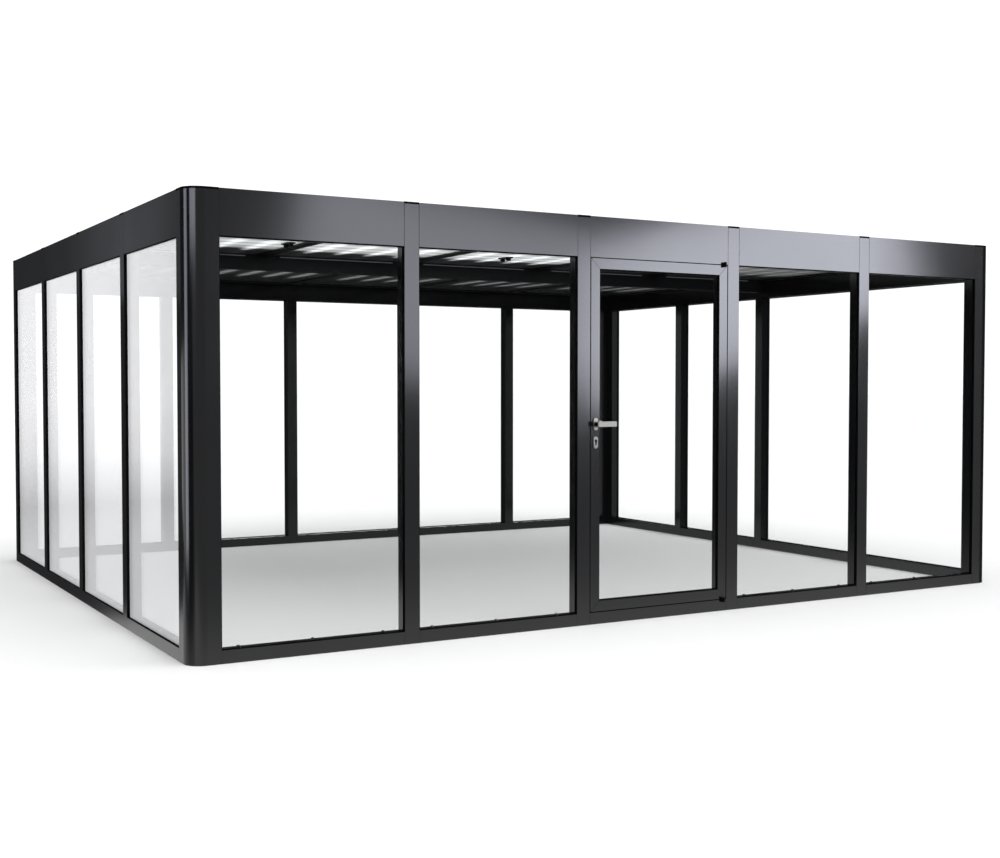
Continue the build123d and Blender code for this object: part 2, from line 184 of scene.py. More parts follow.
def grown_piece(name, runs, tree, measures, material, body):
    """Grows a geometry node tree on straight (start, end, facing) runs into a plain piece."""
    edges = bpy.data.meshes.new(name)
    points = [tuple(point) for start, end, _ in runs for point in (start, end)]
    edges.from_pydata(points, [(i, i + 1) for i in range(0, len(points), 2)], [])
    kept = edges.attributes.new("facing", "FLOAT_VECTOR", "POINT")
    kept.data.foreach_set("vector", [part for *_, facing in runs for part in (*facing, *facing)])
    source = bpy.data.objects.new(name, edges)
    bpy.context.scene.collection.objects.link(source)
    modifier = source.modifiers.new("grow", "NODES")
    modifier.node_group = tree
    values = {"Material": material, **measures}
    for item in tree.interface.items_tree:
        if item.item_type == "SOCKET" and item.in_out == "INPUT" and item.name in values:
            modifier[item.identifier] = values[item.name]
    depsgraph = bpy.context.evaluated_depsgraph_get()
    mesh = bpy.data.meshes.new_from_object(source.evaluated_get(depsgraph))
    source.modifiers.remove(modifier)
    bpy.data.objects.remove(source)
    mesh.name = name
    new_piece(name, mesh, material, body)


def new_tree(name, measures):
    """A geometry node tree that takes loose edges, the named measures and a material.

    Returns the tree, its group input, the edges as curves and the facing kept on them.
    """
    tree = bpy.data.node_groups.new(name, "GeometryNodeTree")
    tree.interface.new_socket("Geometry", in_out="INPUT", socket_type="NodeSocketGeometry")
    for label, value in measures.items():
        socket = tree.interface.new_socket(label, in_out="INPUT", socket_type="NodeSocketFloat")
        socket.default_value = value
    tree.interface.new_socket("Material", in_out="INPUT", socket_type="NodeSocketMaterial")
    tree.interface.new_socket("Geometry", in_out="OUTPUT", socket_type="NodeSocketGeometry")
    start = add(tree, "NodeGroupInput")
    path = add(tree, "GeometryNodeMeshToCurve", start)
    facing = add(tree, "GeometryNodeInputNamedAttribute", "facing", data_type="FLOAT_VECTOR")
    return tree, start, path, facing


def end_tree(tree, start, shape):
    """Makes the shape real, gives it the material and puts it out."""
    real = add(tree, "GeometryNodeRealizeInstances", shape)
    look = {"Geometry": real, "Material": start.outputs["Material"]}
    painted = add(tree, "GeometryNodeSetMaterial", inputs=look)
    add(tree, "NodeGroupOutput", painted)
    return tree


def strip_tree():
    """Sweeps a rectangular strip along each run."""
    measures = {"Width": 6 * MM, "Depth": 4 * MM}
    tree, start, path, facing = new_tree("strip_along_run", measures)
    aimed = {"Curve": path, "Normal": facing}
    upright = add(tree, "GeometryNodeSetCurveNormal", mode="FREE", inputs=aimed)
    sides = {"Width": start.outputs["Width"], "Height": start.outputs["Depth"]}
    outline = add(tree, "GeometryNodeCurvePrimitiveQuadrilateral", inputs=sides)
    sweep = {"Curve": upright, "Profile Curve": outline, "Fill Caps": True}
    swept = add(tree, "GeometryNodeCurveToMesh", inputs=sweep)
    shading = {"Geometry": swept, "Shade Smooth": False}
    flat = add(tree, "GeometryNodeSetShadeSmooth", inputs=shading)
    return end_tree(tree, start, flat)


def bolt_tree():
    """Sets hexagon bolts with washers along each run, standing up in the run's facing."""
    measures = {
        "Spacing": 300 * MM,
        "Head Radius": 5.5 * MM,
        "Head Height": 4 * MM,
        "Washer Radius": 9 * MM,
        "Washer Height": 2 * MM,
    }
    tree, start, path, facing = new_tree("bolts_along_run", measures)
    spread = {"Curve": path, "Length": start.outputs["Spacing"]}
    places = add(tree, "GeometryNodeCurveToPoints", mode="LENGTH", inputs=spread)
    bolt = add(tree, "GeometryNodeJoinGeometry")
    below = 0.0
    for part, sides in (("Washer", 20), ("Head", 6)):
        radius, height = start.outputs[part + " Radius"], start.outputs[part + " Height"]
        lift = add(tree, "ShaderNodeMath", height, 0.5, below, operation="MULTIPLY_ADD")
        offset = add(tree, "ShaderNodeCombineXYZ", inputs={"Z": lift})
        form = {"Vertices": sides, "Radius": radius, "Depth": height}
        disc = add(tree, "GeometryNodeMeshCylinder", inputs=form)
        moved = {"Geometry": disc, "Translation": offset}
        raised = add(tree, "GeometryNodeTransform", inputs=moved)
        tree.links.new(raised.outputs["Geometry"], bolt.inputs["Geometry"])
        below = height
    turn = add(tree, "FunctionNodeAlignRotationToVector", axis="Z", inputs={"Vector": facing})
    seats = {"Points": places, "Instance": bolt, "Rotation": turn}
    placed = add(tree, "GeometryNodeInstanceOnPoints", inputs=seats)
    return end_tree(tree, start, placed)


def prism(bm, outline, base, across, up, depth):
    """Adds a prism to bm: an outline along across and up from base, thickened by depth."""
    outward = across.cross(up)
    near = [bm.verts.new(base + a * across + b * up) for a, b in outline]
    far = [bm.verts.new(vert.co + depth * outward) for vert in near]
    bm.faces.new(near)
    bm.faces.new(far[::-1])
    for i in range(len(outline)):
        j = (i + 1) % len(outline)
        bm.faces.new((near[i], far[i], far[j], near[j]))


def box_outline(width, height, centre=(0.0, 0.0)):
    """The corners of a rectangle."""
    a, b = width / 2, height / 2
    return [(centre[0] + i * a, centre[1] + j * b) for i, j in ((-1, -1), (1, -1), (1, 1), (-1, 1))]


def round_outline(width, height, radius, steps=6):
    """The corners of a rectangle with round corners."""
    points = []
    for quarter, (i, j) in enumerate(((1, -1), (1, 1), (-1, 1), (-1, -1))):
        centre = (i * (width / 2 - radius), j * (height / 2 - radius))
        for step in range(steps + 1):
            angle = math.radians(-90 + 90 * (quarter + step / steps))
            points.append(
                (centre[0] + radius * math.cos(angle), centre[1] + radius * math.sin(angle))
            )
    return points


def turned(bm, section, centre, axis, sides=40):
    """Adds a ring or dome to bm: a section of (radius, along) points turned about an axis."""
    across = axis.orthogonal().normalized()
    up = axis.cross(across)
    angles = [math.tau * n / sides for n in range(sides)]
    spokes = [math.cos(angle) * across + math.sin(angle) * up for angle in angles]
    rows = [
        [bm.verts.new(centre + along * axis + radius * spoke) for spoke in spokes]
        for radius, along in section
    ]
    for lower, upper in zip(rows, rows[1:]):
        for i in range(sides):
            j = (i + 1) % sides
            bm.faces.new((lower[i], lower[j], upper[j], upper[i]))


def bmesh_piece(name, bm, material, body, smooth_below=None):
    """Adds bm as a piece with its faces outwards, smooth at edges below an angle in degrees."""
    bmesh.ops.remove_doubles(bm, verts=bm.verts, dist=0.01 * MM)
    bmesh.ops.recalc_face_normals(bm, faces=bm.faces)
    if smooth_below is not None:
        for face in bm.faces:
            face.smooth = True
        for edge in bm.edges:
            if len(edge.link_faces) == 2:
                edge.smooth = edge.calc_face_angle() < math.radians(smooth_below)
    mesh = bpy.data.meshes.new(name)
    bm.to_mesh(mesh)
    bm.free()
    new_piece(name, mesh, material, body)


# Materials: noise is drawn in Object coordinates, which are metres


def powder_coated_aluminium(name, colour, roughness):
    """Extruded aluminium with a baked powder coat: a very slightly pebbled skin."""
    material, tree = new_material(name)
    place = add(tree, "ShaderNodeTexCoord").outputs["Object"]
    # broad drifts in the coat's thickness, about 0.6 m across
    drift = add(tree, "ShaderNodeTexNoise", inputs={"Vector": place, "Scale": 1.7, "Detail": 2.0})
    shades = {"A": [0.82 * c for c in colour], "B": [1.18 * c for c in colour]}
    tone = add(tree, "ShaderNodeMix", data_type="RGBA", inputs={"Factor": drift, **shades})
    # powder grain is 0.2 mm in the real coat; drawn at about 3 mm so that it shows close up
    grain = add(tree, "ShaderNodeTexNoise", inputs={"Vector": place, "Scale": 320.0, "Detail": 1.0})
    spread = 0.015
    span = (roughness - spread, roughness + spread)
    satin = add(tree, "ShaderNodeMapRange", drift, 0.3, 0.7, *span)
    relief = {"Strength": 0.05, "Distance": 0.2 * MM, "Height": grain}
    pebble = add(tree, "ShaderNodeBump", inputs=relief)
    finish = {"Base Color": tone, "Roughness": satin, "IOR": 1.5, "Normal": pebble}
    skin = add(tree, "ShaderNodeBsdfPrincipled", inputs=finish)
    add(tree, "ShaderNodeOutputMaterial", skin)
    return material


def float_glass(name, tint):
    """Clear float glass: see-through from the front, turning to a mirror at a grazing angle."""
    material, tree = new_material(name)
    angle = add(tree, "ShaderNodeLayerWeight", inputs={"Blend": 0.5}).outputs["Facing"]
    share = add(tree, "ShaderNodeValToRGB", angle)
    # (0 straight on to 1 grazing, share that is mirrored)
    head_on = [(0.0, 0.006), (0.4, 0.012), (0.6, 0.10)]
    grazing = [(0.75, 0.50), (0.83, 0.62), (1.0, 1.0)]
    set_stops(share.color_ramp, head_on + grazing)
    clear = add(tree, "ShaderNodeBsdfTransparent", tint)
    polish = {"Color": (0.98, 0.98, 1.0), "Roughness": 0.0}
    mirror = add(tree, "ShaderNodeBsdfGlossy", inputs=polish)
    pane = add(tree, "ShaderNodeMixShader", share, clear, mirror)
    # lamps shine straight through, so that what stands indoors is lit
    shadow = add(tree, "ShaderNodeLightPath").outputs["Is Shadow Ray"]
    lit = add(tree, "ShaderNodeMixShader", shadow, pane, clear)
    add(tree, "ShaderNodeOutputMaterial", lit)
    return material


def multiwall_polycarbonate(name, colour):
    """Opal multiwall polycarbonate laid in planks: milky, streaked where the planks interlock, with
    painted shade over the rear half, towards the beam, the walls and the rafters, and on the
    underside's face.
    """
    material, tree = new_material(name)
    place = add(tree, "ShaderNodeTexCoord").outputs["Object"]
    split = add(tree, "ShaderNodeSeparateXYZ", place)
    x, y, z = (split.outputs[axis] for axis in "XYZ")
    smooth = {"interpolation_type": "SMOOTHSTEP"}
    # the planks are 232 mm wide, five to a bay, and glow where they interlock
    dull, half_plank = 40 * MM, front_pitch / 10
    plank = add(tree, "ShaderNodeMath", x, half_plank, operation="PINGPONG")
    streak = add(tree, "ShaderNodeMapRange", plank, dull, half_plank, 0.0, 1.0, **smooth)
    # light and dark bands 180 mm apart across the fall, wavering a little
    wobble = add(tree, "ShaderNodeTexNoise", inputs={"Vector": place, "Scale": 5.0, "Detail": 2.0})
    sway, half_band, edge = 80 * MM, 90 * MM, 50 * MM
    drift = add(tree, "ShaderNodeMath", wobble, sway, y, operation="MULTIPLY_ADD")
    band_phase = add(tree, "ShaderNodeMath", drift, half_band, operation="PINGPONG")
    band = add(tree, "ShaderNodeMapRange", band_phase, 0.0, edge, 0.55, 1.1, **smooth)
    # painted shade: between the streaks the rear half is painted nearly dark, the front half less
    # so
    base = add(tree, "ShaderNodeMapRange", y, -0.2, 0.2, 0.55, 0.04, **smooth)
    rest = add(tree, "ShaderNodeMath", 1.1, base, operation="SUBTRACT")
    glow = add(tree, "ShaderNodeMath", streak, rest, base, operation="MULTIPLY_ADD")
    shade = add(tree, "ShaderNodeMath", glow, band, operation="MULTIPLY")
    # painted shade: the sheets darken towards the beam, the wall and the rafters, where these would
    # shade them, between these places in metres and with these shares of the light
    across = add(tree, "ShaderNodeMath", y, operation="ABSOLUTE")
    near = add(tree, "ShaderNodeMath", streak, 0.12, across, operation="MULTIPLY_ADD")
    far = add(tree, "ShaderNodeMath", streak, -0.15, across, operation="MULTIPLY_ADD")
    bay = add(tree, "ShaderNodeMath", x, front_pitch / 2, operation="PINGPONG")
    for distance, places, shares in (
        (near, (0.36, 0.60), (0.02, 1.0)),
        (far, (1.60, 1.78), (1.0, 0.0)),
        (bay, (0.49, 0.55), (1.0, 0.1)),
    ):
        painted_shade_margin = add(tree, "ShaderNodeMapRange", distance, *places, *shares, **smooth)
        shade = add(tree, "ShaderNodeMath", shade, painted_shade_margin, operation="MULTIPLY")
    tones = {"Factor": 1.0, "A": colour, "B": shade}
    tone = add(tree, "ShaderNodeMix", data_type="RGBA", blend_type="MULTIPLY", inputs=tones)
    # seen from below: the patterned skin passes a little light, and the underside's face is painted
    # grey as shade; from above: an even opal white
    milk = add(tree, "ShaderNodeBsdfTranslucent", tone)
    gloss = {"Roughness": 0.3, "IOR": 1.58}
    # painted shade: the underside's face is grey, where the top face is opal white
    grey = linear("#5c5f60")
    face = add(tree, "ShaderNodeBsdfPrincipled", inputs={"Base Color": grey, **gloss})
    below = add(tree, "ShaderNodeMixShader", 0.16, face, milk)
    above = add(tree, "ShaderNodeBsdfPrincipled", inputs={"Base Color": colour, **gloss})
    half_way = ceiling_z + 8 * MM
    upper = add(tree, "ShaderNodeMath", z, half_way, operation="GREATER_THAN")
    sheet = add(tree, "ShaderNodeMixShader", upper, below, above)
    # lamps pass dimmed, so that the sheets cast a soft shadow
    through = add(tree, "ShaderNodeBsdfTransparent", (0.7, 0.7, 0.7))
    shadow = add(tree, "ShaderNodeLightPath").outputs["Is Shadow Ray"]
    lit = add(tree, "ShaderNodeMixShader", shadow, sheet, through)
    add(tree, "ShaderNodeOutputMaterial", lit)
    return material


def zinc_plated_steel(name, colour):
    """Zinc-plated steel for screws and bolts: dull silver with a cloudy passivation."""
    material, tree = new_material(name)
    place = add(tree, "ShaderNodeTexCoord").outputs["Object"]
    cloud = add(tree, "ShaderNodeTexNoise", inputs={"Vector": place, "Scale": 90.0, "Detail": 3.0})
    tones = {"Factor": cloud, "A": [0.7 * c for c in colour], "B": colour}
    tone = add(tree, "ShaderNodeMix", data_type="RGBA", inputs=tones)
    sheen = add(tree, "ShaderNodeMapRange", cloud, 0.0, 1.0, 0.3, 0.5)
    finish = {"Base Color": tone, "Metallic": 1.0, "Roughness": sheen}
    skin = add(tree, "ShaderNodeBsdfPrincipled", inputs=finish)
    add(tree, "ShaderNodeOutputMaterial", skin)
    return material


def moulded_black_plastic(name, colour):
    """Injection-moulded ABS, or steel coated to match: even, low sheen, with a fine grain."""
    material, tree = new_material(name)
    place = add(tree, "ShaderNodeTexCoord").outputs["Object"]
    # eroded mould grain, about 1 mm, drawn at 2 mm
    grain = add(tree, "ShaderNodeTexNoise", inputs={"Vector": place, "Scale": 500.0, "Detail": 2.0})
    sheen = add(tree, "ShaderNodeMapRange", grain, 0.0, 1.0, 0.38, 0.58)
    relief = {"Strength": 0.2, "Distance": 0.3 * MM, "Height": grain}
    bump = add(tree, "ShaderNodeBump", inputs=relief)
    finish = {"Base Color": colour, "Roughness": sheen, "IOR": 1.53, "Normal": bump}
    skin = add(tree, "ShaderNodeBsdfPrincipled", inputs=finish)
    add(tree, "ShaderNodeOutputMaterial", skin)
    return material


def epdm_rubber(name, colour):
    """Extruded EPDM rubber: dull black with a faint bloom."""
    material, tree = new_material(name)
    place = add(tree, "ShaderNodeTexCoord").outputs["Object"]
    bloom = add(tree, "ShaderNodeTexNoise", inputs={"Vector": place, "Scale": 30.0, "Detail": 3.0})
    tones = {"Factor": bloom, "A": colour, "B": [1.6 * c for c in colour]}
    tone = add(tree, "ShaderNodeMix", data_type="RGBA", inputs=tones)
    finish = {"Base Color": tone, "Roughness": 0.75, "IOR": 1.5}
    skin = add(tree, "ShaderNodeBsdfPrincipled", inputs=finish)
    add(tree, "ShaderNodeOutputMaterial", skin)
    return material


def satin_stainless(name, colour, roughness):
    """Stainless steel with a fine satin brushing along the lever."""
    material, tree = new_material(name)
    place = add(tree, "ShaderNodeTexCoord").outputs["Object"]
    # brushing lines about 0.3 mm apart and 40 mm long; drawn at 1 mm
    brushed = {"Vector": place, "Scale": (25.0, 1000.0, 1000.0)}
    stretched = add(tree, "ShaderNodeMapping", inputs=brushed)
    fine = {"Vector": stretched, "Scale": 1.0, "Detail": 2.0}
    lines = add(tree, "ShaderNodeTexNoise", inputs=fine)
    spread = 0.07
    span = (roughness - spread, roughness + spread)
    sheen = add(tree, "ShaderNodeMapRange", lines, 0.0, 1.0, *span)
    tones = {"Factor": lines, "A": [0.85 * c for c in colour], "B": colour}
    tone = add(tree, "ShaderNodeMix", data_type="RGBA", inputs=tones)
    finish = {"Base Color": tone, "Metallic": 1.0, "Roughness": sheen}
    skin = add(tree, "ShaderNodeBsdfPrincipled", inputs=finish)
    add(tree, "ShaderNodeOutputMaterial", skin)
    return material


# Settings

COLOUR = {"subtype": "COLOR", "min": 0.0, "max": 1.0}


class GreenhouseFrameSettings(bpy.types.PropertyGroup):
    paint: FloatVectorProperty(
        name="Paint",
        description="Colour of the powder coat",
        default=linear("#141518"),
        **COLOUR,
    )
    satin: FloatProperty(
        name="Satin",
        description="Roughness of the powder coat",
        subtype="FACTOR",
        default=0.14,
        min=0.05,
        max=1.0,
    )
    cleat_width: FloatProperty(
        name="Cleat width",
        description="Width of the cleats that tie the rafters to the beam",
        default=76 * MM,
        min=30 * MM,
        max=90 * MM,
        unit="LENGTH",
    )
    anchor_spacing: FloatProperty(
        name="Anchor spacing",
        description="Distance between the ground anchors in the base rails",
        default=0.42,
        min=0.2,
        max=1.0,
        unit="LENGTH",
    )


class GreenhouseGlassSettings(bpy.types.PropertyGroup):
    tint: FloatVectorProperty(
        name="Tint",
        description="What one face of the wall glass lets through",
        default=(0.992, 0.996, 0.995),
        **COLOUR,
    )
    gasket_width: FloatProperty(
        name="Gasket width",
        description="How far the glazing gaskets cover the panes",
        default=5 * MM,
        min=2 * MM,
        max=12 * MM,
        unit="LENGTH",
    )
    gasket_depth: FloatProperty(
        name="Gasket depth",
        description="How far the glazing gaskets stand off the panes",
        default=4 * MM,
        min=1 * MM,
        max=8 * MM,
        unit="LENGTH",
    )


class GreenhouseRoofSettings(bpy.types.PropertyGroup):
    sheet: FloatVectorProperty(
        name="Sheet",
        description="Colour of the roof sheets",
        default=linear("#f1f3f3"),
        **COLOUR,
    )
    screw_spacing: FloatProperty(
        name="Screw spacing",
        description="Distance between the screws in the roof strips",
        default=0.35,
        min=0.1,
        max=1.0,
        unit="LENGTH",
    )


class GreenhouseDoorSettings(bpy.types.PropertyGroup):
    steel: FloatVectorProperty(
        name="Steel",
        description="Colour of the lever and its plates",
        default=linear("#cfcfce"),
        **COLOUR,
    )
    steel_roughness: FloatProperty(
        name="Steel roughness",
        description="Roughness of the brushed steel",
        subtype="FACTOR",
        default=0.30,
        min=0.1,
        max=0.9,
    )
    # painted reflection: the black sleeve stands in for the dark reflection on the lever's neck
    sleeve_width: FloatProperty(
        name="Sleeve width",
        description="Thickness of the black sleeve around the lever's neck",
        default=2 * MM,
        min=1 * MM,
        max=6 * MM,
        unit="LENGTH",
    )
    sleeve_height: FloatProperty(
        name="Sleeve height",
        description="How far the black sleeve around the lever's neck stands off its plate",
        default=34 * MM,
        min=1 * MM,
        max=34 * MM,
        unit="LENGTH",
    )


class GreenhouseStageSettings(bpy.types.PropertyGroup):
    floor: FloatVectorProperty(
        name="Floor",
        description="Colour of the studio floor",
        default=linear("#f4f4f4"),
        **COLOUR,
    )
    overhead: FloatProperty(
        name="Overhead",
        description="Strength of the soft overhead light",
        default=4.2,
        min=0.0,
    )
    softbox: FloatProperty(
        name="Softbox",
        description="Strength of the softbox that the front wall mirrors",
        default=4.7,
        min=0.0,
    )


SETTINGS = {
    "greenhouse_frame": GreenhouseFrameSettings,
    "greenhouse_glass": GreenhouseGlassSettings,
    "greenhouse_roof": GreenhouseRoofSettings,
    "greenhouse_door": GreenhouseDoorSettings,
    "greenhouse_stage": GreenhouseStageSettings,
}


# Pieces

GAP = 0.2 * MM  # between a fitting and the face that it sits on
WALL_BAYS = {
    "front": [(x, front_opening) for x in FRONT_BAYS if x],
    "rear": [(x, front_opening) for x in FRONT_BAYS],
    "left": [(y, side_opening) for y in SIDE_BAYS],
    "right": [(y, side_opening) for y in SIDE_BAYS],
}


def frame_runs(left, right, foot, top, inset, at, facing):
    """Four runs just inside a rectangle: two uprights and two level runs between them."""
    runs = []
    for along in (left + inset / 2, right - inset / 2):
        runs.append((at(along, foot), at(along, top), facing))
    for height in (foot + inset / 2, top - inset / 2):
        runs.append((at(left + inset, height), at(right - inset, height), facing))
    return runs


class GREENHOUSE_OT_frame_paint(bpy.types.Operator):
    """Powder-coats the posts, mullions, rails, roof frame and door members"""

    bl_idname = "greenhouse.frame_paint"
    bl_label = "Paint the frame"

    def execute(self, context):
        look = context.scene.greenhouse_frame
        coat = powder_coated_aluminium("powder_coated_aluminium", tuple(look.paint), look.satin)
        wear(coat, *PAINTED)
        matt = 0.45
        coat = powder_coated_aluminium("matt_powder_coated_aluminium", tuple(look.paint), matt)
        wear(coat, *ROOF_FRAME, *STRIPS)
        return {"FINISHED"}


class GREENHOUSE_OT_glass(bpy.types.Operator):
    """Glazes the walls and the door and presses in the gaskets around the panes"""

    bl_idname = "greenhouse.glass"
    bl_label = "Glaze the walls and the door"

    def execute(self, context):
        look = context.scene.greenhouse_glass
        wear(float_glass("float_glass", tuple(look.tint)), *PANES)
        rubber = epdm_rubber("epdm_rubber", linear("#0b0b0b"))
        wear(rubber, "door_stops")
        width, depth = look.gasket_width, look.gasket_depth
        offset = depth / 2 + GAP
        profile = {"Width": width, "Depth": depth - 2 * GAP}

        runs = []
        for wall, bays in WALL_BAYS.items():
            inward = WALLS[wall][2]
            for inwards, facing in ((pane_front - offset, -inward), (pane_back + offset, inward)):
                for centre, opening in bays:
                    pane = (centre - opening / 2, centre + opening / 2, base_top, fascia_foot)
                    runs += frame_runs(
                        *pane,
                        width,
                        lambda along, height: on_wall(wall, along, inwards, height),
                        facing,
                    )
        grown_piece("wall_gaskets", runs, strip_tree(), profile, rubber, "frame")

        runs = []
        glass_low, glass_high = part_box("door_glass")
        for y, out in ((glass_low[Y] - offset, -1), (glass_high[Y] + offset, 1)):
            runs += frame_runs(
                lock_low[X] + stile_width,
                leaf_high[X] - stile_width,
                leaf_low[Z] + stile_width,
                leaf_high[Z] - stile_width,
                width,
                lambda x, z: Vector((x, y, z)),
                Vector((0, out, 0)),
            )
        grown_piece("door_gasket", runs, strip_tree(), profile, rubber, "door")
        return {"FINISHED"}


class GREENHOUSE_OT_roof(bpy.types.Operator):
    """Lays the translucent roof sheets and screws down the strips over their joints"""

    bl_idname = "greenhouse.roof"
    bl_label = "Lay the roof"

    def execute(self, context):
        look = context.scene.greenhouse_roof
        wear(multiwall_polycarbonate("multiwall_polycarbonate", tuple(look.sheet)), *ROOF_SHEETS)

        strip_high, trim_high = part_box("roof_strips")[HIGH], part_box("roof_edge_trims")[HIGH]
        trim_middle = (trim_high[Y] - strip_high[Y]) / 2
        from_beam, from_end = 110 * MM, 60 * MM
        reach, far = strip_high[X] - from_end, strip_high[Y] - from_end
        runs = [((-reach, 0, strip_top), (reach, 0, strip_top), UP)]
        for side in (-1, 1):
            for x in RAFTER_LINES:
                start, end = (x, side * from_beam, strip_top), (x, side * far, strip_top)
                runs.append((start, end, UP))
            y = side * (trim_high[Y] - trim_middle)
            runs.append(((-reach, y, strip_top), (reach, y, strip_top), UP))
            x = side * (trim_high[X] - trim_middle)
            runs.append(((x, -far, strip_top), (x, far, strip_top), UP))
        steel = zinc_plated_steel("zinc_plated_steel", linear("#b9bcc0"))
        spread = {"Spacing": look.screw_spacing}
        grown_piece("roof_screws", runs, bolt_tree(), spread, steel, "frame")
        return {"FINISHED"}


class GREENHOUSE_OT_roof_ties(bpy.types.Operator):
    """Bolts the cleats that tie the rafters to the beam and sets white trims on its lip as a
    painted highlight
    """

    bl_idname = "greenhouse.roof_ties"
    bl_label = "Fit the roof's cleats and trims"

    def execute(self, context):
        look = context.scene.greenhouse_frame
        black = moulded_black_plastic("black_coated_steel", linear("#0c0c0e"))
        thickness, length, rounding = 3 * MM, 56 * MM, 6 * MM
        spacing = 40 * MM
        bm = bmesh.new()
        runs = []
        for side in (-1, 1):
            for x in RAFTER_LINES:
                # a plate under the rafter's end, just outside the beam's lip
                y = side * (beam_high[Y] + GAP + length / 2)
                under = Vector((x, y, rafter_foot - GAP))
                outline = round_outline(look.cleat_width, length, rounding)
                prism(bm, outline, under, Vector((1, 0, 0)), Vector((0, 1, 0)), -thickness)
                low = under.z - thickness - 0.1 * MM
                runs.append(((x - spacing / 2, y, low), (x + spacing / 2, y, low), -UP))
        bmesh_piece("rafter_cleats", bm, black, "frame")
        bolt = {
            "Spacing": spacing,
            "Head Radius": 6 * MM,
            "Head Height": 5 * MM,
            "Washer Radius": 8 * MM,
        }
        grown_piece("cleat_bolts", runs, bolt_tree(), bolt, black, "frame")

        # painted highlight: white strips on the edge of the lip stand in for its lit edge, broken
        # off around the rafters as painted shadow of the rafters
        white = powder_coated_aluminium("white_powder_coat_painted_highlight", linear("#a9abad"), 0.4)
        level = rafter_foot - 4 * MM
        reach = front_pitch / 2 - 130 * MM
        profile = {"Width": 6 * MM, "Depth": 0.6 * MM}
        runs = []
        for side in (-1, 1):
            y = side * (beam_high[Y] + GAP + profile["Depth"] / 2)
            runs += [((x - reach, y, level), (x + reach, y, level), UP) for x in FRONT_BAYS]
        grown_piece("lip_highlight_trims", runs, strip_tree(), profile, white, "frame")
        return {"FINISHED"}


class GREENHOUSE_OT_ceiling_clips(bpy.types.Operator):
    """Hangs the small black clips under the roof sheets"""

    bl_idname = "greenhouse.ceiling_clips"
    bl_label = "Hang the ceiling clips"

    def execute(self, context):
        plastic = bpy.data.materials["moulded_black_plastic"]
        outline = round_outline(60 * MM, 150 * MM, 22 * MM)
        thickness, lobe_offset = 8 * MM, 42 * MM
        lobe = [(0, 0), (18 * MM, 0), (18 * MM, 14 * MM), (12 * MM, 20 * MM), (0, 21 * MM)]
        bm = bmesh.new()
        for x, y in ((-1.866, -0.885), (-0.116, -0.734), (-1.866, 0.885), (-0.116, 0.734)):
            seat = Vector((x, y, ceiling_z - GAP))
            prism(bm, outline, seat, Vector((1, 0, 0)), Vector((0, 1, 0)), -thickness)
            for side in (-1, 1):
                place = seat + Vector((0, side * lobe_offset, -thickness))
                turned(bm, lobe, place, -UP, 24)
        bmesh_piece("ceiling_clips", bm, plastic, "frame", smooth_below=50)
        return {"FINISHED"}


class GREENHOUSE_OT_anchors(bpy.types.Operator):
    """Bolts the base rails down from indoors"""

    bl_idname = "greenhouse.anchors"
    bl_label = "Bolt down the base rails"

    def execute(self, context):
        look = context.scene.greenhouse_frame
        steel = bpy.data.materials["zinc_plated_steel"]
        inwards = (pane_back + wall_depth) / 2 + 8 * MM
        from_end = 110 * MM
        runs = []
        for wall, bays in WALL_BAYS.items():
            for centre, opening in bays:
                reach = opening / 2 - from_end
                ends = (centre - reach, centre + reach)
                start, end = (on_wall(wall, along, inwards, base_top + GAP) for along in ends)
                runs.append((start, end, UP))
        bolt = {
            "Spacing": look.anchor_spacing,
            "Head Radius": 9 * MM,
            "Head Height": 7 * MM,
            "Washer Radius": 14 * MM,
            "Washer Height": 2.5 * MM,
        }
        grown_piece("anchor_bolts", runs, bolt_tree(), bolt, steel, "frame")
        return {"FINISHED"}


class GREENHOUSE_OT_door_seals(bpy.types.Operator):
    """Sets the seals on the door stops"""

    bl_idname = "greenhouse.door_seals"
    bl_label = "Seal the doorway"

    def execute(self, context):
        rubber = bpy.data.materials["epdm_rubber"]
        stop_low, stop_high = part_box("door_stops")
        width, depth = 7 * MM, 2.5 * MM
        y = stop_low[Y] - depth / 2
        runs = frame_runs(
            stop_low[X] + width,
            stop_high[X] - width,
            stop_low[Z] + width,
            stop_high[Z] - width,
            width,
            lambda x, z: Vector((x, y, z)),
            Vector((0, -1, 0)),
        )
        profile = {"Width": width, "Depth": depth - GAP}
        grown_piece("door_seals", runs, strip_tree(), profile, rubber, "frame")
        return {"FINISHED"}


class GREENHOUSE_OT_caps(bpy.types.Operator):
    """Finishes the caps and hinges and puts domed ends on the hinges"""

    bl_idname = "greenhouse.caps"
    bl_label = "Finish the caps and hinges"

    def execute(self, context):
        plastic = moulded_black_plastic("moulded_black_plastic", linear("#0d0d0f"))
        wear(plastic, *CAPS_AND_HINGES)
        low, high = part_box("hinge_brackets")
        barrel_radius = 11 * MM
        dome = [(0, 3.5 * MM), (4 * MM, 3.1 * MM), (7.5 * MM, 2 * MM), (10 * MM, 0.1 * MM)]
        dome += [(0, 0.1 * MM)]
        bm = bmesh.new()
        for level, up in ((high[Z], UP), (low[Z], -UP)):
            turned(bm, dome, Vector((hinge_x, low[Y] + barrel_radius, level)), up, 32)
        bmesh_piece("hinge_domes", bm, plastic, "frame", smooth_below=40)
        return {"FINISHED"}


